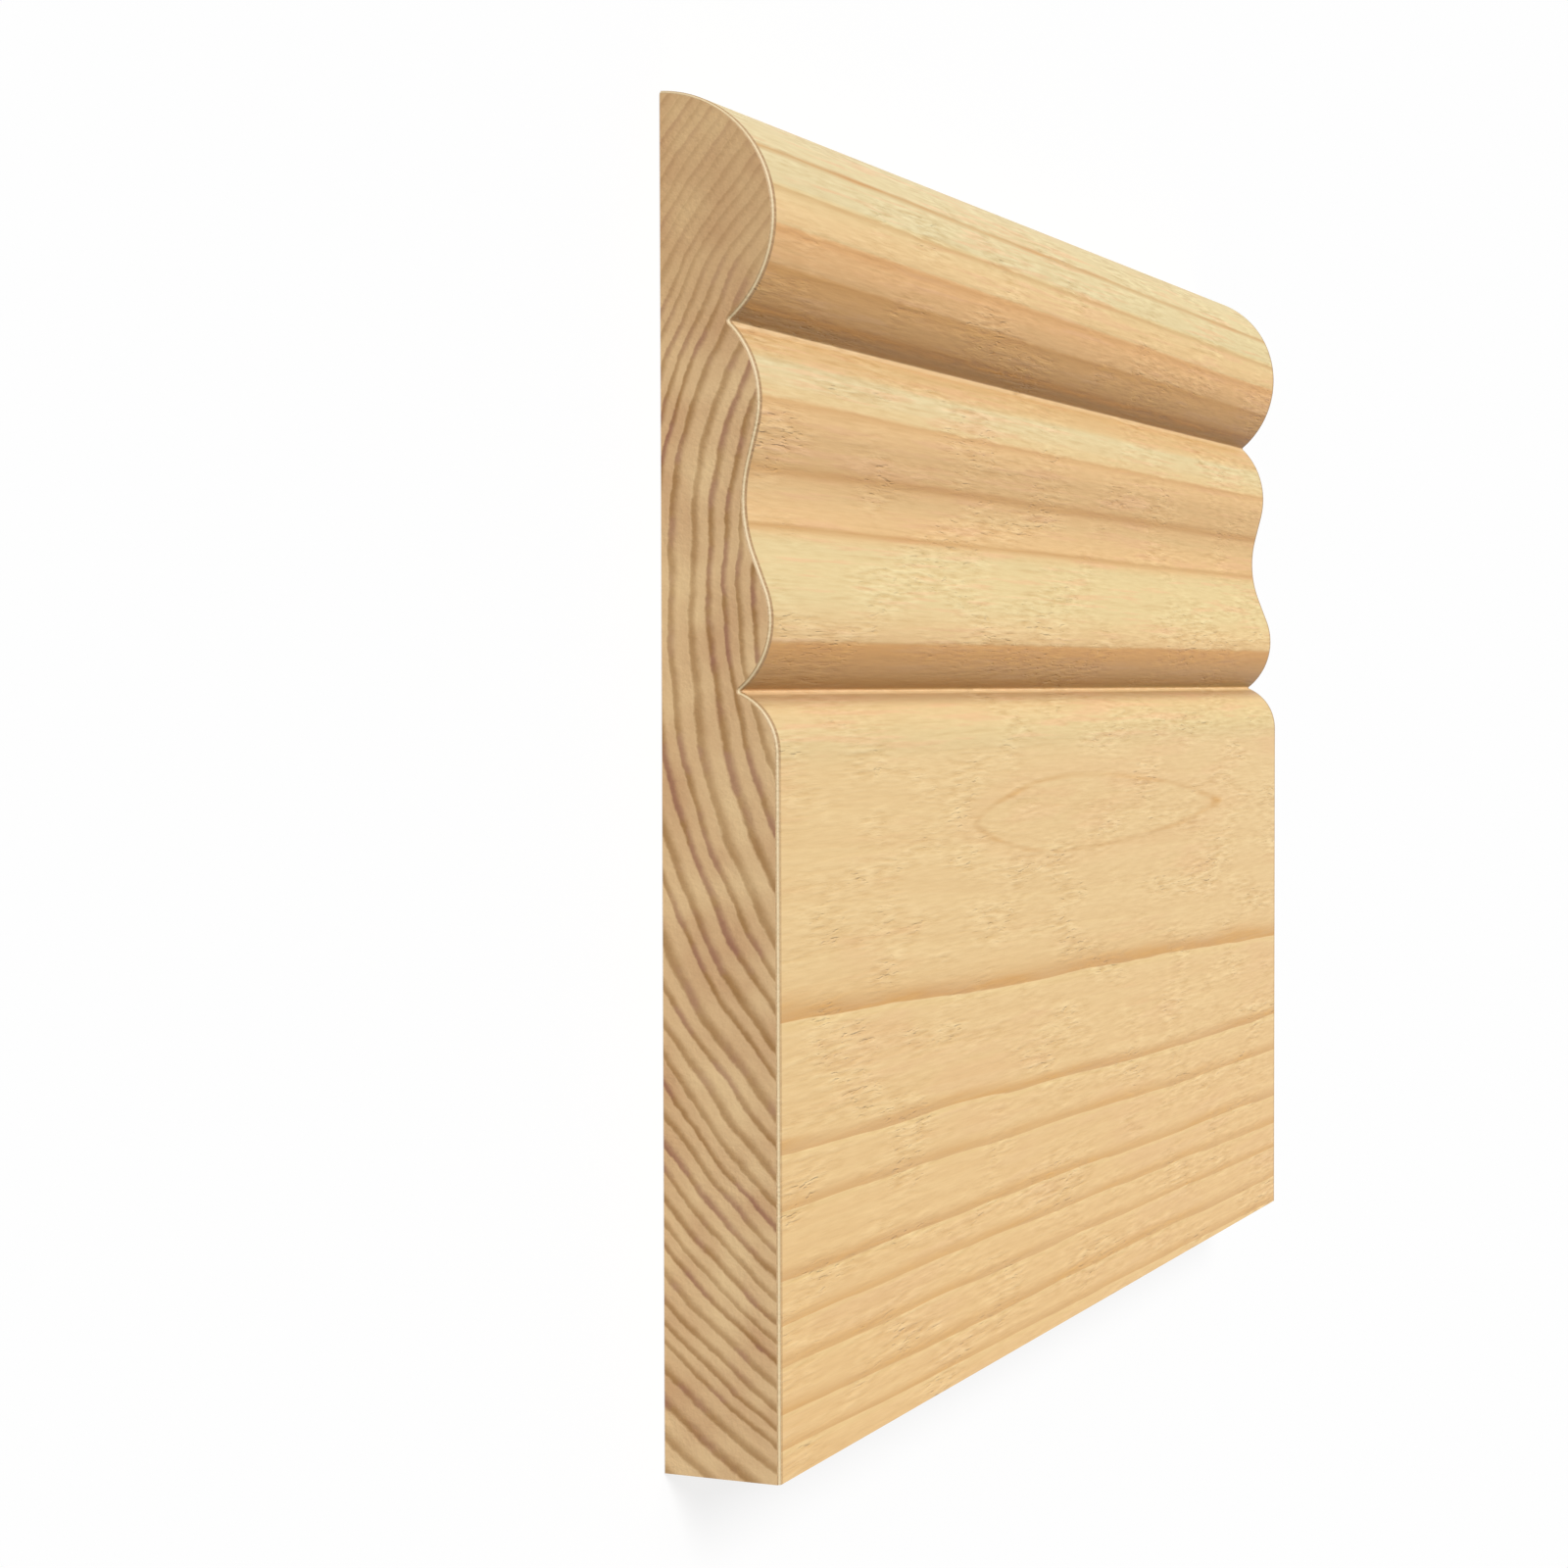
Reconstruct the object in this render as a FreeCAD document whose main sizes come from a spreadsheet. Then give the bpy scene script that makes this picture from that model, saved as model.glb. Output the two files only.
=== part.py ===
# A short length of moulded softwood skirting board, machined from one piece of timber.
# It lies on its flat back: X runs along the board, Y from its floor edge to its moulded top edge,
# and Z from the back to the moulded face. The origin is the middle of the back face.
# All sizes are in millimetres.

import FreeCAD, Part
import Sketcher
import math
import os

from FreeCAD import Vector

PIECE = "skirting_board"

# Each driving size: name, value, what it measures.
# Depths and set-backs are measured from the plane of the flat face towards the back.
SIZES = [
    ("board_length", 300, "between the two saw cuts"),
    ("board_height", 219, "floor edge to top edge"),
    ("board_thickness", 20, "back to flat face"),
    ("torus_radius", 20.5, "large round at the top edge"),
    ("torus_setback", 0.5, "crown of the torus"),
    ("upper_quirk_depth", 8.3, "sharp groove under the torus"),
    ("upper_bead_radius", 17.4, "round under the upper groove"),
    ("upper_bead_setback", 3, "crown of the upper bead"),
    ("upper_slope", 5.4, "straight run from the upper bead into the hollow"),
    ("hollow_radius", 23.5, "cove between the two beads"),
    ("hollow_setback", 5.7, "bottom of the cove"),
    ("lower_slope", 5.6, "straight run from the hollow out to the lower bead"),
    ("lower_bead_radius", 13.8, "round over the lower groove"),
    ("lower_bead_setback", 1.15, "crown of the lower bead"),
    ("lower_quirk_depth", 6.8, "sharp groove over the ovolo"),
    ("ovolo_radius", 10.4, "quarter round at the top of the flat face"),
    ("quirk_root_radius", 0.6, "cutter nose at the bottom of both grooves"),
    ("end_arris", 0.5, "sanded bevel round the moulded face at each saw cut"),
]

# Numbers by which a sketch names the parts of an edge.
START, END, CENTRE = 1, 2, 3
ORIGIN = -1

NEAR = 1e-4


def make_sheet(doc):
    """The spreadsheet of driving sizes, one row each: what it measures, then its value."""
    sheet = doc.addObject("Spreadsheet::Sheet", "sizes")
    for row, (name, value, meaning) in enumerate(SIZES, start=1):
        sheet.set(f"A{row}", meaning)
        sheet.set(f"B{row}", str(value))
        sheet.setAlias(f"B{row}", name)
    doc.recompute()
    return sheet


def leg(hypotenuse, other_leg):
    """The second leg of a right-angled triangle."""
    return math.sqrt(hypotenuse**2 - other_leg**2)


def slope_ends(bead, bead_radius, hollow, hollow_radius):
    """Where the straight run between a bead and the hollow touches each of the two rounds.

    The rounds lie on opposite sides of the run, which is their inner tangent.
    """
    apart = hollow - bead
    turn = math.acos((bead_radius + hollow_radius) / apart.Length)
    lean = math.atan2(apart.y, apart.x) + math.copysign(turn, apart.x)
    normal = Vector(math.cos(lean), math.sin(lean), 0)
    return bead + normal * bead_radius, hollow - normal * hollow_radius


def section_places(s):
    """Centres and joints of the moulded section, worked out from the driving sizes.

    x is the height above the middle of the board, and y the distance from its back.
    The moulding is set out downwards from the top edge, and the flat face takes what is left.
    """
    face = s["board_thickness"]
    top = s["board_height"] / 2
    at = {
        "foot_back": Vector(-top, 0, 0),
        "foot_face": Vector(-top, face, 0),
        "top_back": Vector(top, 0, 0),
    }

    torus_y = face - s["torus_setback"] - s["torus_radius"]
    torus_x = top - leg(s["torus_radius"], torus_y)
    at["torus"] = Vector(torus_x, torus_y, 0)

    quirk_y = face - s["upper_quirk_depth"]
    quirk_x = torus_x - leg(s["torus_radius"], quirk_y - torus_y)
    at["upper_quirk"] = Vector(quirk_x, quirk_y, 0)

    bead_y = face - s["upper_bead_setback"] - s["upper_bead_radius"]
    bead_x = quirk_x - leg(s["upper_bead_radius"], quirk_y - bead_y)
    at["upper_bead"] = Vector(bead_x, bead_y, 0)

    hollow_y = face - s["hollow_setback"] + s["hollow_radius"]
    reach = math.hypot(s["upper_bead_radius"] + s["hollow_radius"], s["upper_slope"])
    hollow_x = bead_x - leg(reach, hollow_y - bead_y)
    at["hollow"] = Vector(hollow_x, hollow_y, 0)

    bead_y = face - s["lower_bead_setback"] - s["lower_bead_radius"]
    reach = math.hypot(s["lower_bead_radius"] + s["hollow_radius"], s["lower_slope"])
    bead_x = hollow_x - leg(reach, hollow_y - bead_y)
    at["lower_bead"] = Vector(bead_x, bead_y, 0)

    quirk_y = face - s["lower_quirk_depth"]
    quirk_x = bead_x - leg(s["lower_bead_radius"], quirk_y - bead_y)
    at["lower_quirk"] = Vector(quirk_x, quirk_y, 0)

    ovolo_y = face - s["ovolo_radius"]
    ovolo_x = quirk_x - leg(s["ovolo_radius"], quirk_y - ovolo_y)
    at["ovolo"] = Vector(ovolo_x, ovolo_y, 0)
    at["face_top"] = Vector(ovolo_x, face, 0)

    at["upper_bead_end"], at["hollow_top"] = slope_ends(
        at["upper_bead"], s["upper_bead_radius"], at["hollow"], s["hollow_radius"]
    )
    at["lower_bead_end"], at["hollow_foot"] = slope_ends(
        at["lower_bead"], s["lower_bead_radius"], at["hollow"], s["hollow_radius"]
    )
    return at


def line(first, last):
    return Part.LineSegment(first, last)


def arc(centre, radius, first, last):
    """The counter-clockwise arc from first to last."""
    start = math.atan2(first.y - centre.y, first.x - centre.x)
    end = math.atan2(last.y - centre.y, last.x - centre.x)
    if end < start:
        end += 2 * math.pi
    return Part.ArcOfCircle(Part.Circle(centre, Vector(0, 0, 1), radius), start, end)


def draw_section(sketch, s, at):
    """Adds the outline's edges to the sketch and gives back the number of each."""
    outline = [
        ("back", line(at["foot_back"], at["top_back"])),
        ("foot", line(at["foot_back"], at["foot_face"])),
        ("flat", line(at["foot_face"], at["face_top"])),
        ("ovolo", arc(at["ovolo"], s["ovolo_radius"], at["lower_quirk"], at["face_top"])),
        ("lower_bead", arc(at["lower_bead"], s["lower_bead_radius"],
                           at["lower_bead_end"], at["lower_quirk"])),
        ("lower_slope", line(at["lower_bead_end"], at["hollow_foot"])),
        ("hollow", arc(at["hollow"], s["hollow_radius"], at["hollow_foot"], at["hollow_top"])),
        ("upper_slope", line(at["hollow_top"], at["upper_bead_end"])),
        ("upper_bead", arc(at["upper_bead"], s["upper_bead_radius"],
                           at["upper_quirk"], at["upper_bead_end"])),
        ("torus", arc(at["torus"], s["torus_radius"], at["top_back"], at["upper_quirk"])),
    ]
    return {name: sketch.addGeometry(shape) for name, shape in outline}


def join_section(sketch, edge):
    """Closes the outline: plain corners, smooth joints, and the square sides."""
    corners = [
        ("back", START, "foot", START),
        ("foot", END, "flat", START),
        ("ovolo", START, "lower_bead", END),
        ("upper_bead", START, "torus", END),
        ("torus", START, "back", END),
    ]
    smooth = [
        ("flat", END, "ovolo", END),
        ("lower_bead", START, "lower_slope", START),
        ("lower_slope", END, "hollow", START),
        ("hollow", END, "upper_slope", START),
        ("upper_slope", END, "upper_bead", END),
    ]
    for kind, joints in (("Coincident", corners), ("Tangent", smooth)):
        for first, first_end, second, second_end in joints:
            sketch.addConstraint(
                Sketcher.Constraint(kind, edge[first], first_end, edge[second], second_end)
            )
    sketch.addConstraint(Sketcher.Constraint("Horizontal", edge["back"]))
    sketch.addConstraint(Sketcher.Constraint("Vertical", edge["foot"]))
    sketch.addConstraint(Sketcher.Constraint("Horizontal", edge["flat"]))
    sketch.addConstraint(
        Sketcher.Constraint("Symmetric", edge["back"], START, edge["back"], END, ORIGIN, START)
    )


def bind(sketch, name, formula, kind, *places):
    """Adds one dimension to the sketch and ties it to the driving sizes."""
    number = sketch.addConstraint(Sketcher.Constraint(kind, *places))
    sketch.renameConstraint(number, name)
    sketch.setExpression(f"Constraints.{name}", formula)


def size_section(sketch, edge, s, at):
    """Ties each dimension of the section to the spreadsheet."""
    bind(sketch, "height", "sizes.board_height",
         "DistanceX", edge["back"], START, edge["back"], END, s["board_height"])
    bind(sketch, "thickness", "sizes.board_thickness",
         "DistanceY", edge["foot"], START, edge["foot"], END, s["board_thickness"])

    for name in ("torus", "upper_bead", "hollow", "lower_bead", "ovolo"):
        bind(sketch, f"{name}_radius", f"sizes.{name}_radius",
             "Radius", edge[name], s[f"{name}_radius"])
    for name in ("upper_slope", "lower_slope"):
        bind(sketch, name, f"sizes.{name}", "Distance", edge[name], s[name])

    face = at["foot_face"].y
    corner = (edge["flat"], START)
    for name in ("torus", "upper_bead", "lower_bead"):
        bind(sketch, f"{name}_centre", f"sizes.{name}_radius + sizes.{name}_setback",
             "DistanceY", edge[name], CENTRE, *corner, face - at[name].y)
    bind(sketch, "hollow_centre", "sizes.hollow_radius - sizes.hollow_setback",
         "DistanceY", *corner, edge["hollow"], CENTRE, at["hollow"].y - face)
    for name, joint in (("upper_quirk", ("torus", END)), ("lower_quirk", ("lower_bead", END))):
        bind(sketch, f"{name}_depth", f"sizes.{name}_depth",
             "DistanceY", edge[joint[0]], joint[1], *corner, face - at[name].y)


def make_section(body, s, at):
    """The cross-section, drawn on the plane across the board's length."""
    plane = next(f for f in body.Origin.OriginFeatures if f.Role == "YZ_Plane")
    sketch = body.newObject("Sketcher::SketchObject", "section")
    sketch.AttachmentSupport = [(plane, "")]
    sketch.MapMode = "FlatFace"
    edge = draw_section(sketch, s, at)
    join_section(sketch, edge)
    size_section(sketch, edge, s, at)
    return sketch


def quirk_edges(shape, at):
    """Names of the two long edges at the bottoms of the sharp grooves."""
    names = []
    for number, edge in enumerate(shape.Edges, start=1):
        for quirk in (at["upper_quirk"], at["lower_quirk"]):
            # The section's x and y lie along the board's Y and Z.
            if all(math.hypot(v.Y - quirk.x, v.Z - quirk.y) < NEAR for v in edge.Vertexes):
                names.append(f"Edge{number}")
    return names


def arris_edges(shape, s):
    """Names of the edges where the two saw cuts meet the moulded face."""
    end = s["board_length"] / 2
    foot = -s["board_height"] / 2
    names = []
    for number, edge in enumerate(shape.Edges, start=1):
        at_end = all(abs(abs(v.X) - end) < NEAR for v in edge.Vertexes)
        middle = edge.valueAt((edge.FirstParameter + edge.LastParameter) / 2)
        runs_across = abs(abs(middle.x) - end) < NEAR
        on_back = middle.z < NEAR
        on_foot = middle.y < foot + NEAR
        if at_end and runs_across and not on_back and not on_foot:
            names.append(f"Edge{number}")
    return names


def make_board(doc, s):
    """The whole board: section, length, groove bottoms, then the sanded ends."""
    at = section_places(s)
    body = doc.addObject("PartDesign::Body", "board")
    body.Label = PIECE
    sketch = make_section(body, s, at)
    doc.recompute()

    length = body.newObject("PartDesign::Pad", "moulded_length")
    length.Profile = sketch
    length.SideType = "Symmetric"
    length.setExpression("Length", "sizes.board_length")
    doc.recompute()

    roots = body.newObject("PartDesign::Fillet", "quirk_roots")
    roots.Base = (length, quirk_edges(length.Shape, at))
    roots.setExpression("Radius", "sizes.quirk_root_radius")
    doc.recompute()

    arris = body.newObject("PartDesign::Chamfer", "end_arrises")
    arris.Base = (roots, arris_edges(roots.Shape, s))
    arris.setExpression("Size", "sizes.end_arris")
    body.Tip = arris
    doc.recompute()
    return body


def check(doc, bodies):
    """Stops if a feature failed or a piece isn't one sound solid."""
    for item in doc.Objects:
        if {"Invalid", "Error"} & set(item.State):
            raise RuntimeError(f"{item.Name} failed: {item.State}")
    for body in bodies:
        shape = body.Shape
        if shape.isNull() or not shape.isValid() or len(shape.Solids) != 1:
            raise RuntimeError(f"{body.Label} isn't one sound solid")


def main():
    doc = FreeCAD.newDocument("skirting")
    sheet = make_sheet(doc)
    s = {name: float(sheet.get(name)) for name, _, _ in SIZES}
    bodies = [make_board(doc, s)]
    check(doc, bodies)
    os.makedirs("parts", exist_ok=True)
    for body in bodies:
        body.Shape.exportStep(f"parts/{body.Label}.step")
        print(body.Label, body.Shape.BoundBox, "volume", round(body.Shape.Volume, 1))


main()
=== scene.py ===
import math
from types import SimpleNamespace

import bmesh
import bpy
from mathutils import Matrix, Vector


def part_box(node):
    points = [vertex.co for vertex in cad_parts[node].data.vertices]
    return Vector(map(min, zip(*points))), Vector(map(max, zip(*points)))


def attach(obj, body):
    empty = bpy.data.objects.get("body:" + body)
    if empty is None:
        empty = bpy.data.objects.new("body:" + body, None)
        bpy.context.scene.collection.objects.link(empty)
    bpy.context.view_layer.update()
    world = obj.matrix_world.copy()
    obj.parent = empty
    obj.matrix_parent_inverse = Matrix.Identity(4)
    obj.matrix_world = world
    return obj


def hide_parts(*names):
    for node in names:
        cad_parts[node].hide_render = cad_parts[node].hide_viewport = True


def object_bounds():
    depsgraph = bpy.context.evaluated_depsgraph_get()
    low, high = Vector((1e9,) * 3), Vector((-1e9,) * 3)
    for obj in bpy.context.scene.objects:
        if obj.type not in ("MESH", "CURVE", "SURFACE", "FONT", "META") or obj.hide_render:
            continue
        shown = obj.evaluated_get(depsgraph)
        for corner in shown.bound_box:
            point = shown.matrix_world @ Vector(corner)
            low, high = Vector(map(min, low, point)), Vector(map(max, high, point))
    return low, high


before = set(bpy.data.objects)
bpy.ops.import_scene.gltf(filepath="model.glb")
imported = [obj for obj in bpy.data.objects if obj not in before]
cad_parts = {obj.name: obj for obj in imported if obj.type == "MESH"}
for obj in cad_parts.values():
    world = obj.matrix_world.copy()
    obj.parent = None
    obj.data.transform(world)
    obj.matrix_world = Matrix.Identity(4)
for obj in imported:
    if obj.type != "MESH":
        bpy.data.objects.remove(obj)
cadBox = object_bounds()
print("frame loaded")

mm = 0.001
touching = 0.01 * mm          # points closer than this are one

# The board lies on its back: X along it, Y from the floor edge to the moulded edge, Z out of the face.
# Heights are measured from the floor edge, depths from the back. All in mm.
board = {
    "torusRadius": 20.5,
    "torusSetback": 0.5,
    "upperQuirkDepth": 8.3,
    "upperBeadRadius": 17.4,
    "upperBeadSetback": 3.0,
    "upperSlope": 5.4,
    "hollowRadius": 23.5,
    "hollowSetback": 5.7,
    "lowerSlope": 5.6,
    "lowerBeadRadius": 13.8,
    "lowerBeadSetback": 1.15,
    "lowerQuirkDepth": 6.8,
    "ovoloRadius": 10.4,
    "quirkRoot": 0.6,
    "quirkRootSteps": 6,
    "endArris": 0.5,
    "curveStep": 0.45,        # length of one edge along a curve
    "fewestSteps": 4,
    "sharpAngle": 27,         # degrees; a steeper fold stays crisp
}


class Flow:
    # One value on its way through a material. Sums on it add Math nodes.
    def __init__(self, net, socket):
        self.net = net
        self.socket = socket

    def __add__(self, other):
        return self.net.maths("ADD", self, other)

    __radd__ = __add__

    def __mul__(self, other):
        return self.net.maths("MULTIPLY", self, other)

    __rmul__ = __mul__

    def __sub__(self, other):
        return self.net.maths("SUBTRACT", self, other)

    def __rsub__(self, other):
        return self.net.maths("SUBTRACT", other, self)

    def __truediv__(self, other):
        return self.net.maths("DIVIDE", self, other)

    def __pow__(self, other):
        return self.net.maths("POWER", self, other)

    def __abs__(self):
        return self.net.maths("ABSOLUTE", self)


class Net:
    # The nodes of one material
    def __init__(self, tree):
        self.tree = tree
        tree.nodes.clear()

    def node(self, kind, settings={}, sockets={}, out=0):
        made = self.tree.nodes.new(kind)
        for name, value in settings.items():
            if name == "stops":
                self.fillRamp(made.color_ramp, value)
            else:
                setattr(made, name, value)
        for name, value in sockets.items():
            if isinstance(value, Flow):
                self.tree.links.new(value.socket, made.inputs[name])
            else:
                made.inputs[name].default_value = value
        return Flow(self, made.outputs[out]) if made.outputs else made

    def fillRamp(self, ramp, stops):
        while len(ramp.elements) < len(stops):
            ramp.elements.new(1)
        for element, (place, value) in zip(ramp.elements, stops):
            element.position = place
            element.color = (value, value, value, 1)

    def lookup(self, value, stops, interpolation="LINEAR"):
        # Reads a value off a curve through listed (place, value) points
        low, high = stops[0][0], stops[-1][0]
        scaled = [((place - low) / (high - low), result) for place, result in stops]
        made = self.node("ShaderNodeValToRGB", {"stops": scaled}, {0: (value - low) / (high - low)})
        made.socket.node.color_ramp.interpolation = interpolation
        return made

    def parts(self, vector):
        split = self.tree.nodes.new("ShaderNodeSeparateXYZ")
        self.tree.links.new(vector.socket, split.inputs[0])
        return [Flow(self, socket) for socket in split.outputs]

    def shaded(self, colour, change, shares=(1.0, 1.0, 1.0)):
        # A colour made lighter or darker; shares say how much red, green and blue follow
        levels = {channel: change * share + 1.0 for channel, share in enumerate(shares)}
        return self.mix(1.0, colour, self.node("ShaderNodeCombineColor", {}, levels), "MULTIPLY")

    def maths(self, operation, *values):
        return self.node("ShaderNodeMath", {"operation": operation}, dict(enumerate(values)))

    def rise(self, value, low, high):
        # 0 below low, 1 above high, smooth between; low may be the larger
        return self.node("ShaderNodeMapRange", {"interpolation_type": "SMOOTHSTEP"},
                         {"Value": value, "From Min": low, "From Max": high})

    def band(self, value, start, full, fade, end):
        # 1 from full to fade, 0 before start and after end
        return self.rise(value, start, full) * self.rise(value, end, fade)

    def mix(self, factor, first, second, blend="MIX"):
        return self.node("ShaderNodeMix", {"data_type": "RGBA", "blend_type": blend},
                         {0: factor, 6: first, 7: second}, 2)

    def vector(self, operation, first, second):
        return self.node("ShaderNodeVectorMath", {"operation": operation}, {0: first, 1: second})

    def noise(self, place, lengths, detail, shift, rough=0.5):
        # Noise centred on 0 whose features are about as long as lengths say, in mm. Each shift gives
        # another pattern.
        scaled = self.vector("MULTIPLY", place, tuple(1 / length for length in lengths))
        moved = self.vector("ADD", scaled, (shift, 0.37 * shift, 0.71 * shift))
        made = self.node("ShaderNodeTexNoise", {}, {"Vector": moved, "Scale": 1.0,
                                                   "Detail": detail, "Roughness": rough})
        return made - 0.5


def srgb(red, green, blue):
    # A colour as a picture shows it, 0 to 255, made linear
    def linear(level):
        level /= 255
        return level / 12.92 if level <= 0.04045 else ((level + 0.055) / 1.055) ** 2.4
    return (linear(red), linear(green), linear(blue), 1)


def leg(hypotenuse, otherLeg):
    return math.sqrt(hypotenuse**2 - otherLeg**2)


def slopeEnds(bead, beadRadius, hollow, hollowRadius):
    # Where the straight run between a bead and the hollow meets each of them
    apart = hollow - bead
    turn = math.acos((beadRadius + hollowRadius) / apart.length)
    lean = math.atan2(apart.y, apart.x) + math.copysign(turn, apart.x)
    normal = Vector((math.cos(lean), math.sin(lean)))
    return bead + normal * beadRadius, hollow - normal * hollowRadius


def sectionPlaces(foot, top, face):
    # Joints and centres of the section: x is the board's Y, y its depth from the back, both in mm
    at = {"footBack": Vector((foot, 0)), "footFace": Vector((foot, face)), "topBack": Vector((top, 0))}

    depth = face - board["torusSetback"] - board["torusRadius"]
    torus = Vector((top - leg(board["torusRadius"], depth), depth))
    quirkDepth = face - board["upperQuirkDepth"]
    upperQuirk = Vector((torus.x - leg(board["torusRadius"], quirkDepth - torus.y), quirkDepth))

    depth = face - board["upperBeadSetback"] - board["upperBeadRadius"]
    upperBead = Vector((upperQuirk.x - leg(board["upperBeadRadius"], quirkDepth - depth), depth))

    depth = face - board["hollowSetback"] + board["hollowRadius"]
    reach = math.hypot(board["upperBeadRadius"] + board["hollowRadius"], board["upperSlope"])
    hollow = Vector((upperBead.x - leg(reach, depth - upperBead.y), depth))

    depth = face - board["lowerBeadSetback"] - board["lowerBeadRadius"]
    reach = math.hypot(board["lowerBeadRadius"] + board["hollowRadius"], board["lowerSlope"])
    lowerBead = Vector((hollow.x - leg(reach, hollow.y - depth), depth))

    quirkDepth = face - board["lowerQuirkDepth"]
    lowerQuirk = Vector((lowerBead.x - leg(board["lowerBeadRadius"], quirkDepth - depth), quirkDepth))

    depth = face - board["ovoloRadius"]
    ovolo = Vector((lowerQuirk.x - leg(board["ovoloRadius"], quirkDepth - depth), depth))

    at.update(torus=torus, upperQuirk=upperQuirk, upperBead=upperBead, hollow=hollow,
              lowerBead=lowerBead, lowerQuirk=lowerQuirk, ovolo=ovolo,
              faceTop=Vector((ovolo.x, face)))
    at["upperBeadEnd"], at["hollowTop"] = slopeEnds(
        upperBead, board["upperBeadRadius"], hollow, board["hollowRadius"])
    at["lowerBeadEnd"], at["hollowFoot"] = slopeEnds(
        lowerBead, board["lowerBeadRadius"], hollow, board["hollowRadius"])
    return at


def straightTo(bm, corner, place):
    grown = bmesh.ops.extrude_vert_indiv(bm, verts=[corner])["verts"][0]
    grown.co.y, grown.co.z = place * mm
    return grown


def roundTo(bm, corner, centre, place):
    # Sweeps the last corner round a centre until it reaches place
    middle = Vector((corner.co.x, *(centre * mm)))
    start = (corner.co - middle).yz
    end = place * mm - middle.yz
    angle = math.atan2(start.cross(end), start.dot(end))
    steps = max(board["fewestSteps"], round(abs(angle) * start.length / (board["curveStep"] * mm)))
    swept = bmesh.ops.spin(bm, geom=[corner], cent=middle, axis=(1, 0, 0), angle=angle, steps=steps)
    return next(item for item in swept["geom_last"] if isinstance(item, bmesh.types.BMVert))


def nearest(bm, place):
    return min(bm.verts, key=lambda corner: (corner.co.yz - place * mm).length)


def roundQuirk(bm, corner):
    # The cutter's nose: a small arc between the two rounds that meet at the corner
    first, second = (edge.other_vert(corner).co - corner.co for edge in corner.link_edges)
    opening = first.angle(second)
    back = board["quirkRoot"] * mm / math.tan(opening / 2)
    bmesh.ops.bevel(bm, geom=[corner], offset=back, offset_type="OFFSET", affect="VERTICES",
                    segments=board["quirkRootSteps"], profile=0.5, material=-1)


def drawSection(bm, at, along):
    # The outline across the board, from the foot of the back round to the top of the back
    first = bm.verts.new((along, *(at["footBack"] * mm)))
    last = straightTo(bm, first, at["footFace"])
    last = straightTo(bm, last, at["faceTop"])
    last = roundTo(bm, last, at["ovolo"], at["lowerQuirk"])
    last = roundTo(bm, last, at["lowerBead"], at["lowerBeadEnd"])
    last = straightTo(bm, last, at["hollowFoot"])
    last = roundTo(bm, last, at["hollow"], at["hollowTop"])
    last = straightTo(bm, last, at["upperBeadEnd"])
    last = roundTo(bm, last, at["upperBead"], at["upperQuirk"])
    last = roundTo(bm, last, at["torus"], at["topBack"])
    bm.edges.new((last, first))
    bmesh.ops.remove_doubles(bm, verts=bm.verts, dist=touching)
    for quirk in ("lowerQuirk", "upperQuirk"):
        roundQuirk(bm, nearest(bm, at[quirk]))


def sandEnds(bm, low):
    # A small bevel round the moulded face at both saw cuts
    def onMoulding(edge):
        ends = [corner.co for corner in edge.verts]
        across = abs(ends[0].x - ends[1].x) < touching
        back = all(place.z < low.z + touching for place in ends)
        foot = all(place.y < low.y + touching for place in ends)
        return across and not back and not foot

    bmesh.ops.bevel(bm, geom=[edge for edge in bm.edges if onMoulding(edge)],
                    offset=board["endArris"] * mm, offset_type="OFFSET", affect="EDGES",
                    segments=1, profile=0.5, material=-1)
    bmesh.ops.recalc_face_normals(bm, faces=bm.faces[:])


def makeBoard(low, high):
    bm = bmesh.new()
    drawSection(bm, sectionPlaces(low.y / mm, high.y / mm, high.z / mm), low.x)

    # The section becomes the near end, and the length grows out of it
    section = bmesh.ops.contextual_create(bm, geom=bm.edges[:])["faces"]
    grown = bmesh.ops.extrude_face_region(bm, geom=section, use_keep_orig=True)["geom"]
    farEnd = [item for item in grown if isinstance(item, bmesh.types.BMVert)]
    bmesh.ops.translate(bm, verts=farEnd, vec=(high.x - low.x, 0, 0))
    bmesh.ops.recalc_face_normals(bm, faces=bm.faces[:])
    sandEnds(bm, low)

    crisp = math.radians(board["sharpAngle"])
    for face in bm.faces:
        face.smooth = True
    for edge in bm.edges:
        edge.smooth = edge.calc_face_angle(0) < crisp
    mesh = bpy.data.meshes.new("skirting_board_pine")
    bm.to_mesh(mesh)
    bm.free()
    piece = bpy.data.objects.new("skirting_board_pine", mesh)
    bpy.context.scene.collection.objects.link(piece)
    return piece


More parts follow.
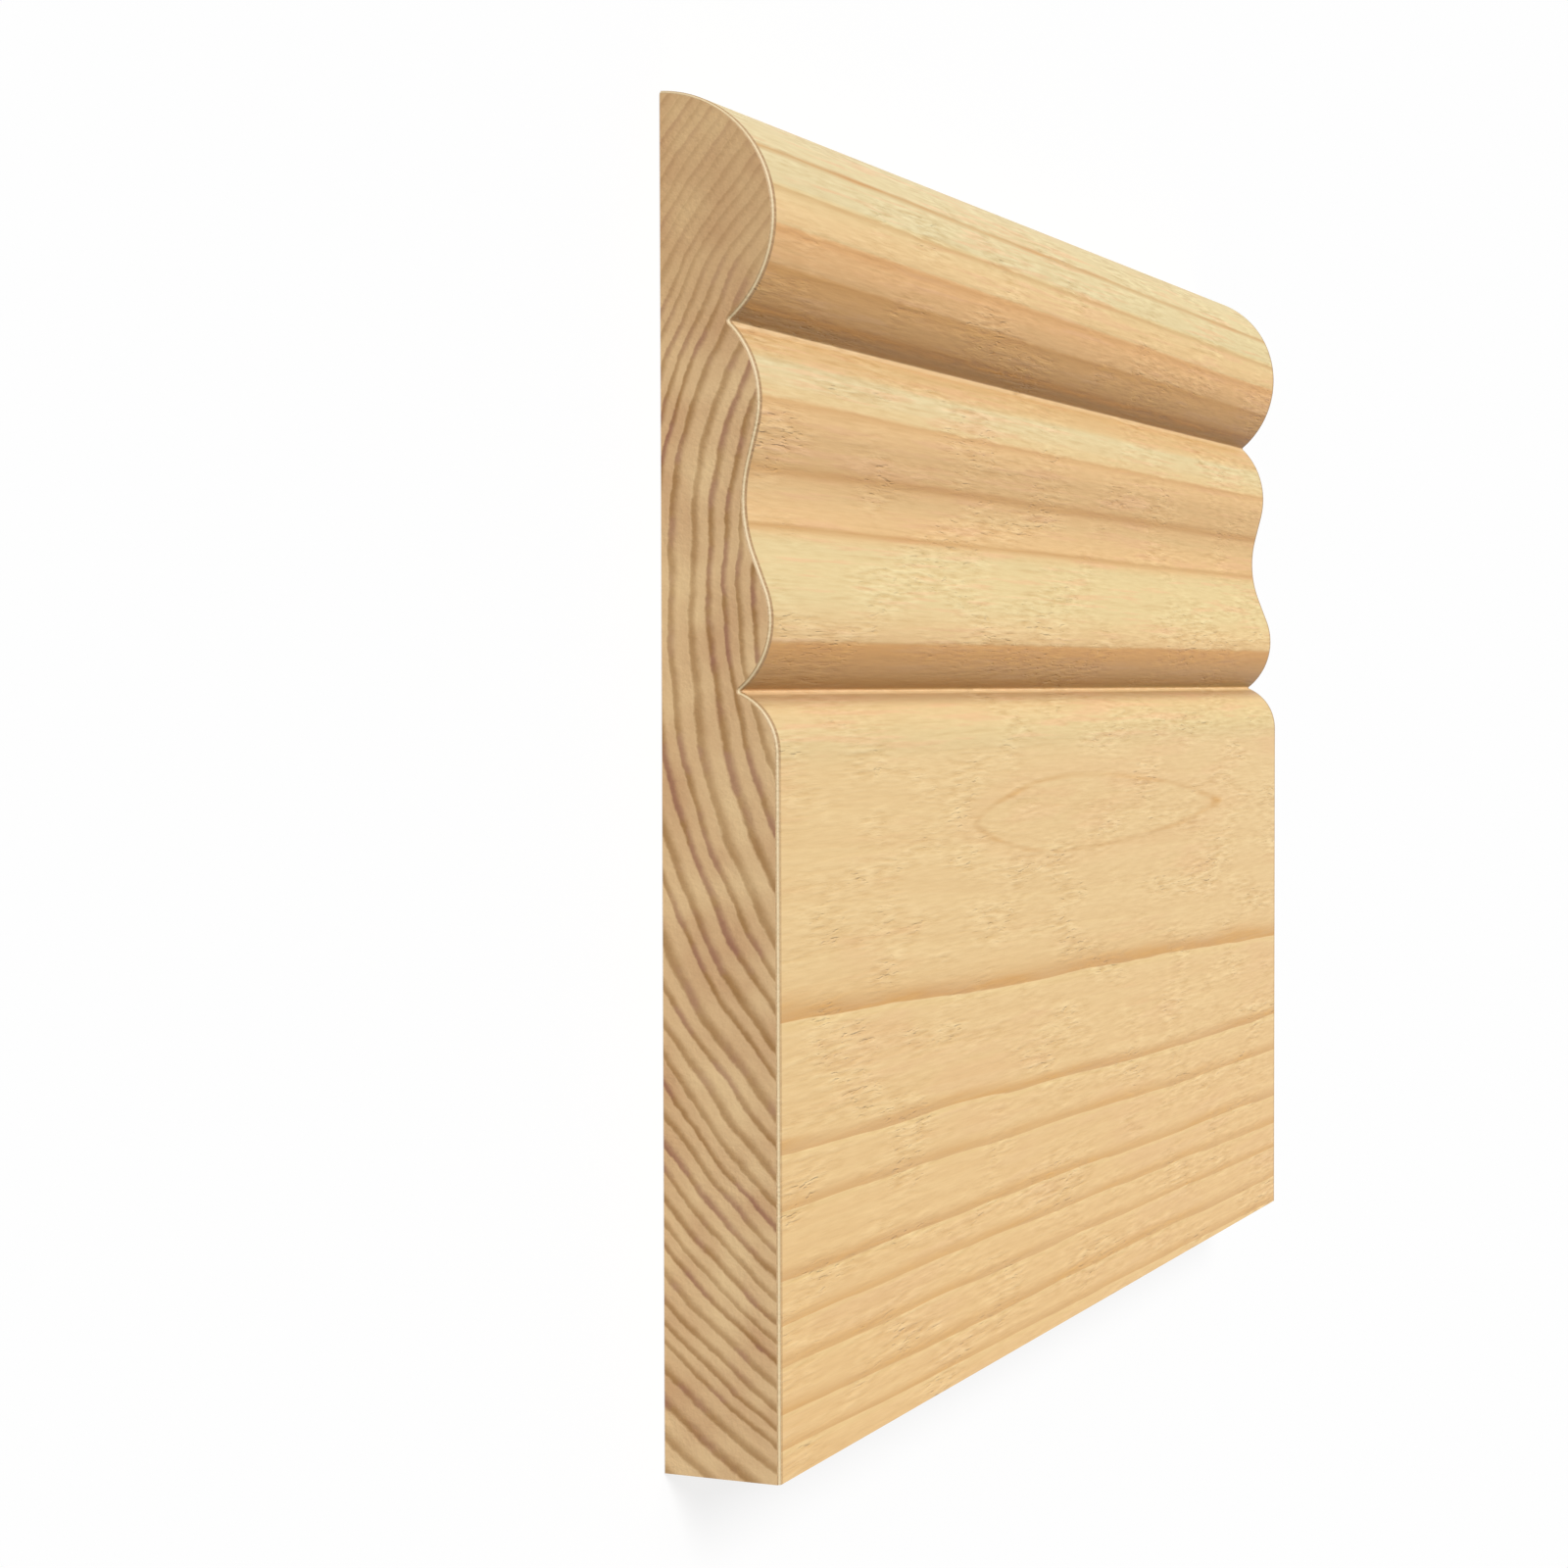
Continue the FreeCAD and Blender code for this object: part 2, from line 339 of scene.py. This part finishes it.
pine = {
    # Growth rings: how far each one is from the heart of the tree, in mm. The ends show them all,
    # cupped towards the face, and the flat face shows the bold ones as lines.
    "heartHeight": 143,
    "heartDepth": 112,
    "heartDrift": 6.6,          # how much nearer the heart comes along the board
    "driftHeights": (150, 110),     # none of that above the first height, all of it below the second
    "footDrift": 0.25,          # and this share more at the foot
    "footHeights": (60, 20),
    "upperPull": 0.17,          # rings bend more sharply above the heart's height
    "ringShift": -0.35,
    "ringSway": 2.4,            # how far each kind of noise moves the rings, in mm
    "ringWander": 1.6,
    "ringStreak": 0.7,
    "ringBlotch": 0.9,
    "rings": [94.5, 97.9, 101.2, 105.2, 109.3, 112.4, 115.7, 119.4, 122.0, 126.5, 129.2, 132.5, 135.4,
              137.9, 140.7, 143.7, 146.3, 149.2, 151.8, 154.4, 157.7, 160.7, 163.2, 165.6, 169.4,
              173.4, 177.6, 182.0],
    "ringLimit": 32,            # no ring has a higher number
    "topRings": 0.15,           # extra rings per mm towards the moulded edge, where growth was slower
    "topRingsFrom": 112.0,
    "topRingsHeights": (142, 168),
    "crestRings": 0.105,        # and where they cup, for half a ring
    "crestRingsFrom": 101.1,
    "crestRingsMost": 0.55,
    "crestRingsHeights": (112, 134),
    "ringsStart": (118, 96),    # the flat face's rings start below the eye
    "lowHeights": (95, 5),      # from the colour of its upper part to that of its foot
    "broadRing": 6,             # the boldest one on the flat face, soft on its upper side
    "boldRings": {6: 0.68, 10: 0.75, 12: 0.65, 15: 0.7, 17: 0.6, 19: 0.6, 21: 0.65, 23: 0.6, 26: 0.5},
    "paleRing": 0.10,
    # The eye on the flat face, a ring that the plane just touches: short to one side, long to the other
    "eye": {"along": -7, "height": 100.2, "nearHalf": 54, "farHalf": 106, "halfHeight": 7.4, "sag": 1.1,
            "tip": 98},
    # Across the moulding the grain runs dead straight: height, and how tan the wood is there
    "tanBands": [(115, 0), (122, 0.3), (124.9, 0.35), (125.3, 1), (132.5, 1), (133.2, 0.25), (136, 0.1),
                 (140, 0), (148.6, 0), (150.8, 0.5), (156, 0.45), (160.2, 0.75), (161, 0.6),
                 (165, 0.65), (168, 0.45), (170.3, 0.55), (170.9, 0.05), (176.2, 0), (177.2, 0.3),
                 (178.6, 0.55), (179.4, 0.4), (181, 0.6), (182.2, 0.5), (182.6, 0.9), (187, 0.75),
                 (194, 0.85), (196.5, 1), (197.2, 0.15), (202.3, 0.15), (202.9, 0.0), (219, 0.0)],
    "warmBands": [(132.7, 0), (133.3, 1), (136, 0.8), (140, 0), (151.4, 0), (152, 0.6), (155.5, 0.6),
                  (157, 0), (165.5, 0), (167, 0.9), (170.4, 0.9), (171.2, 0.6), (173, 0.4), (176, 0),
                  (197.0, 0), (197.4, 1), (199.5, 0.9), (202.3, 0.2), (203, 0)],
    # Thin dark lines there, each crisp above and soft below
    "thinLines": [(127.5, 0), (130.5, 0.4), (132.2, 0.45), (132.9, 0.4), (133.3, 0), (150.2, 0),
                  (151.25, 0.7), (151.9, 0), (158.9, 0), (159.9, 0.6), (160.6, 0.6), (161.3, 0.2),
                  (162.4, 0), (169.2, 0), (170.4, 0.5), (170.9, 0), (183.6, 0), (184.7, 1.4),
                  (185.5, 0.25), (186.6, 0), (188.4, 0), (190.3, 0.75), (191.0, 0), (195.0, 0),
                  (196.2, 0.5), (196.9, 0), (201.4, 0), (202.35, 0.65), (202.8, 0), (207.9, 0),
                  (208.95, 0.9), (209.5, 0)],
    "palestTop": (202.9, 203.4),
    "palestBand": (172, 173, 176.4, 177.4),
    "goldenUpper": (184, 186, 190.3, 191.0),
    "goldenLower": (128, 131, 132.6, 133.2),
    "lineTaper": 0.000135,      # how fast bands and lines close in on the middle of the moulding
    "lineWander": 1.1,          # how far noise and fibres move them, in mm
    "lineFray": 0.6,
    "mouldingMiddle": 165,
    "mouldingFoot": (111, 119),     # where its straight grain takes over from the flat face's
    "upperQuirk": 182.2,
    "lowerQuirk": 124.6,
    "farYellow": 0.09,          # blue that the moulding loses towards the far end
    # Each noise: its features' size along the board, across it and in depth, in mm, then its detail,
    # its shift and, where it isn't 0.5, its roughness
    "sways": ((300, 34, 34), 1.0, 3.1),
    "wanders": ((90, 12, 12), 1.0, 9.7),
    "patches": ((28, 9, 9), 1.0, 15.0),
    "fibres": ((6.4, 0.7, 0.7), 2.0, 1.0),
    "streaks": ((34, 1.5, 1.5), 2.0, 7.0, 0.6),
    "blotches": ((55, 11, 11), 2.0, 4.0),
    "lineWanders": ((120, 14, 14), 1.0, 5.3),
    "purples": ((200, 7, 7), 2.0, 8.0),
    "clumps": ((200, 10, 10), 2.0, 6.0),
    "pores": ((8, 0.4, 0.4), 2.0, 11.0),
    "flecks": ((3.6, 0.7, 0.7), 1.0, 14.0),
    "fibreContrast": 0.56,
    "streakContrast": 0.12,
    "moreContrast": 0.2,        # this share more in the head of the moulding, and at the far end
    "contrastHeights": (165, 190),
    "headRings": 0.32,          # how much of the rings' strength is left in the head's end grain
    "headRingsHeights": (200, 170),
    "headShade": 0.15,          # how much darker the head's end grain is
    "headShadeHeights": (168, 196),
    "flatArrisLine": 0.55,      # how much of the dark line beside the arris is left on the flat face
    "arrisLineHeights": (110, 118),
    "relief": 0.15,             # depth of the bump, in mm
    "roughness": 0.56,
    "flat": srgb(233, 199, 142),
    "flatLow": srgb(234, 194, 134),
    "flatLate": srgb(205, 156, 96),
    "flatGold": srgb(211, 159, 86),
    "flatPink": srgb(230, 188, 134),
    "flatPale": srgb(237, 204, 140),
    "pale": srgb(223, 199, 145),
    "palest": srgb(221, 201, 152),
    "warm": srgb(235, 201, 145),
    "tan": srgb(231, 177, 117),
    "line": srgb(188, 134, 62),
    "golden": srgb(226, 165, 90),
    "streak": srgb(228, 179, 133),
    "end": srgb(234, 200, 149),
    "endShade": srgb(210, 168, 122),
    "endLate": srgb(160, 117, 64),
    "endPurple": srgb(160, 110, 88),
    # Painted shade colour for the undersides above the quirks
    "quirkShade": srgb(140, 105, 36),
    # Painted highlight colour for the quirks' lips
    "lipHighlight": srgb(228, 196, 150),
    # Painted shadow colour under the lower quirk's lip
    "lipShadow": srgb(160, 118, 80),
    # Darker painted shade colour for the strip just above each quirk
    "root": srgb(96, 66, 28),
    "shares": (0.66, 1.0, 1.58),     # how much the fibres change red, green and blue
    "headShares": (0.85, 1.1, 1.4),
    "farShares": (0.0, 0.15, 1.0),
    "arris": srgb(215, 194, 154),
    "arrisEdge": srgb(166, 128, 84),
}


def readWood(net, low, high):
    # Where a point is on the board, in mm, which way it faces, and its grain
    place = net.node("ShaderNodeTexCoord", out="Object")
    place = net.node("ShaderNodeVectorMath", {"operation": "SCALE"}, {0: place, "Scale": 1 / mm})
    along, across, depth = net.parts(place)
    endways, _, outwards = net.parts(net.node("ShaderNodeTexCoord", out="Normal"))
    endways = abs(endways)
    onEnd = net.rise(endways, 0.75, 0.95)
    patchy = net.rise(net.noise(place, *pine["patches"]), -0.16, 0.2)
    return SimpleNamespace(
        place=place, along=along, depth=depth, endways=endways, outwards=outwards,
        height=across - low.y / mm,
        fromNear=along - low.x / mm,
        fromEnd=high.x / mm - abs(along),
        length=(high.x - low.x) / mm,
        onEnd=onEnd,
        onArris=net.rise(endways, 0.2, 0.5) * (1 - onEnd),
        onFace=net.rise(outwards, 0.05, 0.35),
        patchy=patchy,
        fibre=net.noise(place, *pine["fibres"]) * (0.35 + patchy * 1.2),
        streak=net.noise(place, *pine["streaks"]),
        blotch=net.noise(place, *pine["blotches"]),
        pores=net.noise(place, *pine["pores"]))


def findRings(net, wood):
    # Distance from the heart, with the wander that a tree has, and the growth ring that lies there
    height = wood.height
    sway = net.noise(wood.place, *pine["sways"]) * pine["ringSway"]
    wander = net.noise(wood.place, *pine["wanders"]) * pine["ringWander"]
    above = net.maths("MAXIMUM", height - pine["heartHeight"], 0.0)
    up = height - pine["heartHeight"] + above * pine["upperPull"]
    footDrift = net.rise(height, *pine["footHeights"]) * pine["footDrift"]
    drift = net.rise(height, *pine["driftHeights"]) + footDrift
    drift = wood.fromNear * drift * (pine["heartDrift"] / wood.length)
    out = pine["heartDepth"] - wood.depth - drift
    radius = net.maths("SQRT", out * out + up * up) + sway + wander
    radius = radius + wood.streak * pine["ringStreak"] + wood.blotch * pine["ringBlotch"] + pine["ringShift"]

    count = len(pine["rings"]) - 1
    stops = [(reach, number / count) for number, reach in enumerate(pine["rings"])]
    crowd = net.maths("MAXIMUM", radius - pine["topRingsFrom"], 0.0) * pine["topRings"]
    crest = net.maths("MINIMUM", (radius - pine["crestRingsFrom"]) * pine["crestRings"],
                      pine["crestRingsMost"])
    ring = net.lookup(radius, stops) * count
    ring = ring + crowd * net.rise(height, *pine["topRingsHeights"])
    ring = ring + crest * net.rise(height, *pine["crestRingsHeights"])
    number = net.maths("CEIL", ring)
    return SimpleNamespace(
        number=number,
        part=net.maths("FRACT", ring),
        chance=net.node("ShaderNodeTexWhiteNoise", {"noise_dimensions": "1D"}, {"W": number}))


def boldness(net, number):
    # How plainly a ring shows on the flat face: a few are bold, the rest hardly seen
    stops = [(0.0, pine["paleRing"])]
    for which, strength in pine["boldRings"].items():
        stops += [(which - 0.5, strength), (which + 0.5, pine["paleRing"])]
    return net.lookup(number, stops + [(pine["ringLimit"], pine["paleRing"])], "CONSTANT")


def drawEye(net, wood):
    # The eye's line and dark tip, and the pink wood round it
    eye = pine["eye"]
    sideways = wood.along - eye["along"]
    halfLength = net.rise(sideways, -1, 1) * (eye["farHalf"] - eye["nearHalf"]) + eye["nearHalf"]
    sideways = sideways / halfLength
    updown = wood.height + wood.streak * 0.8 + wood.blotch * 0.8 - eye["height"]
    updown = abs((updown + net.rise(sideways, 0.1, 1) * eye["sag"]) / eye["halfHeight"])
    edge = updown ** 1.2 + sideways * sideways - 1.0
    line = net.rise(abs(edge), 0.14, 0.0) * net.rise(abs(sideways), 1.15, 1.0)
    tip = net.rise(abs(wood.along - eye["tip"]), 6, 2) * net.rise(updown, 0.3, 0.05) * 0.3
    mark = wood.onFace * (line * (0.42 + wood.streak * 0.9) + tip)
    return mark, wood.onFace * net.band(edge, 0.0, 0.15, 0.2, 0.8) * 0.35


def colourFlat(net, wood, rings):
    part = rings.part
    ringed = net.maths("MAXIMUM", net.rise(wood.height, *pine["ringsStart"]), 1 - wood.onFace)
    broad = net.rise(abs(rings.number - pine["broadRing"]), 0.6, 0.4) * net.rise(part, -0.6, 0.5)
    late = (net.rise(part, 0.2, 0.92) + broad * 0.35) * net.rise(part, 1.0, 0.96)
    late = late * boldness(net, rings.number) * ringed * (1.05 + wood.streak * 1.1 + wood.fibre * 1.2)
    afterBold = boldness(net, rings.number - 1.0) * net.rise(part, 0.3, 0.05) * ringed
    mark, halo = drawEye(net, wood)

    colour = net.mix(net.rise(wood.height, *pine["lowHeights"]), pine["flat"], pine["flatLow"])
    pink = net.rise(wood.blotch + wood.streak * 0.5, -0.02, 0.22) * 0.6
    colour = net.mix(net.maths("MAXIMUM", pink, halo), colour, pine["flatPink"])
    colour = net.mix(afterBold * 0.7, colour, pine["flatPale"])
    gold = net.rise(wood.streak * 0.5 + wood.blotch, -0.2, 0.2)
    lateColour = net.mix(gold, pine["flatLate"], pine["flatGold"])
    return net.mix(net.maths("MINIMUM", late + mark, 1.0), colour, lateColour)


def shadeQuirks(net, wood, level, colour):
    # Painted shade on the undersides above the quirks and on the bead just below the upper one, and darker
    # painted shade just above each quirk
    height, upper, lower = wood.height, pine["upperQuirk"], pine["lowerQuirk"]
    # Painted shade: darkens the downward-facing torus and lower bead above each quirk, and the upper bead
    # just below the upper quirk
    quirkShade = (net.rise(height, upper + 13.8, upper + 0.1) ** 1.5 * net.rise(height, upper, upper + 0.4) * 0.5
               + net.band(height, upper - 6.7, upper - 3.7, upper - 1.2, upper - 0.2) * 0.15
               + net.rise(height, lower + 11.4, lower + 0.6) ** 1.5 * net.rise(height, lower, lower + 0.4)
               * 0.58)
    colour = net.mix(quirkShade, colour, pine["quirkShade"])
    # Darker painted shade in the strip just above each quirk, with a painted shade line near the top of the
    # upper strip
    root = (net.rise(level, upper + 3.1, upper + 2.5) * net.rise(height, upper, upper + 0.3) * 0.38
            + net.band(level, upper + 1.7, upper + 2.2, upper + 2.6, upper + 3.0) * 0.2
            + net.band(height, lower, lower + 0.3, lower + 0.5, lower + 1.7) * 0.2)
    return net.mix(root, colour, pine["root"])


def paintLipLights(net, wood, colour):
    # Painted highlight on the lip at each quirk, with a soft painted shadow under the lower one
    height, upper, lower = wood.height, pine["upperQuirk"], pine["lowerQuirk"]
    # Painted shadow that the lower bead casts just under its lip
    lipShadowMask = net.band(height, lower - 3.2, lower - 1.0, lower - 0.8, lower - 0.4)
    colour = net.mix(lipShadowMask * 0.6, colour, pine["lipShadow"])
    # Painted highlight on the lip at each quirk
    lipHighlight = (net.band(height, lower - 0.7, lower - 0.4, lower + 0.1, lower + 0.3)
           + net.band(height, upper - 0.9, upper - 0.4, upper + 0.1, upper + 0.3))
    return net.mix(lipHighlight * 0.8, colour, pine["lipHighlight"])


def colourMoulding(net, wood):
    # Straight bands and lines, which a little wander and the fibres soften
    streak, blotch = wood.streak, wood.blotch
    spread = wood.height - pine["mouldingMiddle"]
    closing = spread * (wood.fromNear - wood.length / 2) * pine["lineTaper"]
    wander = net.noise(wood.place, *pine["lineWanders"]) * pine["lineWander"]
    level = wood.height + closing + wander + wood.fibre * pine["lineFray"]

    palest = net.rise(level, *pine["palestTop"]) + net.band(level, *pine["palestBand"])
    colour = net.mix(palest, pine["pale"], pine["palest"])
    colour = net.mix(net.lookup(level, pine["warmBands"]), colour, pine["warm"])
    colour = net.mix(net.lookup(level, pine["tanBands"]) + streak * 0.35, colour, pine["tan"])
    golden = net.band(level, *pine["goldenUpper"]) + net.band(level, *pine["goldenLower"])
    colour = net.mix(golden * 0.5, colour, pine["golden"])
    colour = net.mix(net.rise(streak + blotch * 0.4, 0.02, 0.18) * 0.45, colour, pine["streak"])
    colour = net.mix(net.rise(blotch * 0.3 - streak, 0.08, 0.24) * 0.2, colour, pine["line"])
    colour = shadeQuirks(net, wood, level, colour)
    thin = net.lookup(level, pine["thinLines"]) * (0.8 + streak * 1.3 + wood.fibre * 0.8)
    colour = net.mix(thin, colour, pine["line"])
    colour = paintLipLights(net, wood, colour)
    return net.shaded(colour, wood.fromNear * (-pine["farYellow"] / wood.length), pine["farShares"])


def colourFaces(net, wood, rings):
    # The back and both long edges have the flat face's grain
    flat = colourFlat(net, wood, rings)
    colour = net.mix(net.rise(wood.height, *pine["mouldingFoot"]), flat, colourMoulding(net, wood))
    colour = net.mix(wood.onFace, flat, colour)
    grainy = net.rise(wood.height, *pine["contrastHeights"]) + wood.fromNear / wood.length
    grainy = grainy * pine["moreContrast"] + 1.0
    contrast = wood.fibre * grainy * pine["fibreContrast"] + wood.streak * pine["streakContrast"]
    return net.shaded(colour, contrast, pine["shares"])


def colourEnd(net, wood, rings):
    # Every ring shows, some brown, some purple in places
    purple = net.noise(wood.place, *pine["purples"]) + rings.chance * 0.2
    lateColour = net.mix(net.rise(purple, 0.10, 0.26) * 0.75, pine["endLate"], pine["endPurple"])
    clump = net.noise(wood.place, *pine["clumps"])
    faint = net.rise(wood.height, *pine["headRingsHeights"]) * (1 - pine["headRings"]) + pine["headRings"]
    strength = (0.66 + rings.chance * 0.2 + clump * 0.8) * faint
    colour = net.mix(0.48 + clump * 2.1 + (rings.chance - 0.5) * 0.3, pine["end"], pine["endShade"])
    colour = net.mix(net.band(rings.part, 0.36, 0.8, 0.86, 1.0) * strength, colour, lateColour)
    shade = wood.pores * 0.12 - net.rise(wood.height, *pine["headShadeHeights"]) * pine["headShade"]
    return net.shaded(colour, shade, pine["headShares"])


def colourArris(net, wood, colour):
    # The sanded arris is pale between two thin dark lines
    colour = net.mix(wood.onArris, colour, net.shaded(pine["arris"], wood.pores * 0.3))
    farLine = net.band(wood.fromEnd, 0.34, 0.46, 0.9, 1.4) * (1 - wood.onEnd)
    moulded = net.rise(wood.height, *pine["arrisLineHeights"])
    farLine = farLine * (moulded * (1 - pine["flatArrisLine"]) + pine["flatArrisLine"])
    nearLine = net.rise(wood.fromEnd, 0.24, 0.1) * wood.onArris
    lines = (farLine + nearLine * 0.85) * net.rise(wood.outwards, -0.4, 0.0) * (0.9 + wood.pores)
    return net.mix(lines, colour, pine["arrisEdge"])


def makeRelief(net, wood):
    # Fine fibres, and patches of short torn flecks
    fleck = net.rise(net.noise(wood.place, *pine["flecks"]), 0.08, 0.28)
    torn = fleck * net.rise(wood.patchy, 0.45, 0.95) * net.rise(wood.endways, 0.3, 0.1)
    lift = wood.fibre * (1 - wood.onEnd * 0.6) + wood.streak * 0.6 - torn
    return net.node("ShaderNodeBump", {}, {"Strength": 1.0, "Distance": pine["relief"] * mm, "Height": lift})


def makePine(low, high):
    material = bpy.data.materials.new("pine")
    material.use_nodes = True
    net = Net(material.node_tree)
    wood = readWood(net, low, high)
    rings = findRings(net, wood)
    colour = net.mix(wood.onEnd, colourFaces(net, wood, rings), colourEnd(net, wood, rings))
    colour = colourArris(net, wood, colour)
    rough = pine["roughness"] + wood.fibre * 0.12 + wood.onEnd * 0.1
    surface = net.node("ShaderNodeBsdfPrincipled", {},
                       {"Base Color": colour, "Roughness": rough, "Normal": makeRelief(net, wood)})
    net.node("ShaderNodeOutputMaterial", {}, {"Surface": surface})
    return material


studio = {
    "keyFrom": (-0.50, 0.48, 0.72),
    "keyStrength": 2.95,
    "keyAngle": 26,
    "sky": 0.28,
    "floorSize": 16.0,
    "floorGap": 0.2,           # mm below the board
    "floorBounce": 0.40,       # how pale the floor is for the light that it throws back
    "floorSeen": 1.0,          # how pale it is to the camera
    "floorLift": 0.80,         # share of the seen floor that is plain white, so its shadow stays faint
    "white": (1, 1, 1, 1),
}


def seenDirectly(net):
    # 1 for what the camera, a mirror or glass sees
    path = net.tree.nodes.new("ShaderNodeLightPath")
    names = ("Is Camera Ray", "Is Glossy Ray", "Is Transmission Ray")
    camera, glossy, through = (Flow(net, path.outputs[name]) for name in names)
    return net.maths("MINIMUM", camera + glossy + through, 1.0)


def makeFloor():
    bm = bmesh.new()
    bmesh.ops.create_grid(bm, x_segments=1, y_segments=1, size=studio["floorSize"] / 2)
    mesh = bpy.data.meshes.new("floor")
    bm.to_mesh(mesh)
    bm.free()
    floor = bpy.data.objects.new("floor", mesh)
    bpy.context.scene.collection.objects.link(floor)
    material = bpy.data.materials.new("studio_floor")
    material.use_nodes = True
    net = Net(material.node_tree)
    pale, shown = (net.node("ShaderNodeBsdfDiffuse", {}, {"Color": (level, level, level, 1)})
                   for level in (studio["floorBounce"], studio["floorSeen"]))
    seen = seenDirectly(net)
    matt = net.node("ShaderNodeMixShader", {}, {0: seen, 1: pale, 2: shown})
    white = net.node("ShaderNodeEmission", {}, {"Color": studio["white"], "Strength": 1.0})
    lifted = net.node("ShaderNodeMixShader", {}, {0: seen * studio["floorLift"], 1: matt, 2: white})
    net.node("ShaderNodeOutputMaterial", {}, {"Surface": lifted})
    mesh.materials.append(material)
    floor.location.z = cadBox[0].z - studio["floorGap"] * mm


def makeLights():
    world = bpy.data.worlds.new("studio")
    bpy.context.scene.world = world
    world.use_nodes = True
    net = Net(world.node_tree)
    soft, white = (net.node("ShaderNodeBackground", {}, {"Color": studio["white"], "Strength": strength})
                   for strength in (studio["sky"], 1.0))
    both = net.node("ShaderNodeMixShader", {}, {0: seenDirectly(net), 1: soft, 2: white})
    net.node("ShaderNodeOutputWorld", {}, {"Surface": both})

    lamp = bpy.data.lights.new("key", "SUN")
    lamp.energy = studio["keyStrength"]
    lamp.angle = math.radians(studio["keyAngle"])
    key = bpy.data.objects.new("key", lamp)
    key.rotation_euler = Vector(studio["keyFrom"]).to_track_quat("Z", "Y").to_euler()
    bpy.context.scene.collection.objects.link(key)


# The photograph shows the board upright, so the camera looks down on the lying board and is turned
# until the moulded edge is at the top of the picture.
view = {
    "place": (-604.68, 15.93, 219.19),
    "lens": 73.2,
    "sensor": 36,
    "swing": 23.55,            # degrees down towards the floor, from looking along the board
    "tip": 1.77,               # degrees towards the floor edge
    "roll": -0.156,
}


def makeCamera():
    swing, tip, roll = (math.radians(view[name]) for name in ("swing", "tip", "roll"))
    ahead = Vector((math.cos(swing) * math.cos(tip), -math.sin(tip), -math.sin(swing) * math.cos(tip)))
    right = Vector((math.sin(swing), 0, math.cos(swing)))
    up = right.cross(ahead)
    turned = Matrix((right, up, -ahead)).transposed() @ Matrix.Rotation(roll, 3, "Z")
    data = bpy.data.cameras.new("camera")
    data.lens = view["lens"]
    data.sensor_width = view["sensor"]
    camera = bpy.data.objects.new("camera", data)
    camera.matrix_world = Matrix.Translation(Vector(view["place"]) * mm) @ turned.to_4x4()
    bpy.context.scene.collection.objects.link(camera)
    bpy.context.scene.camera = camera


low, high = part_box("skirting_board")
pineBoard = makeBoard(low, high)
pineBoard.data.materials.append(makePine(low, high))
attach(pineBoard, "root")
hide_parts("skirting_board")
print("board made:", len(pineBoard.data.polygons), "faces")

makeFloor()
makeLights()
makeCamera()
bpy.context.scene.view_settings.view_transform = "Standard"
print("studio made")
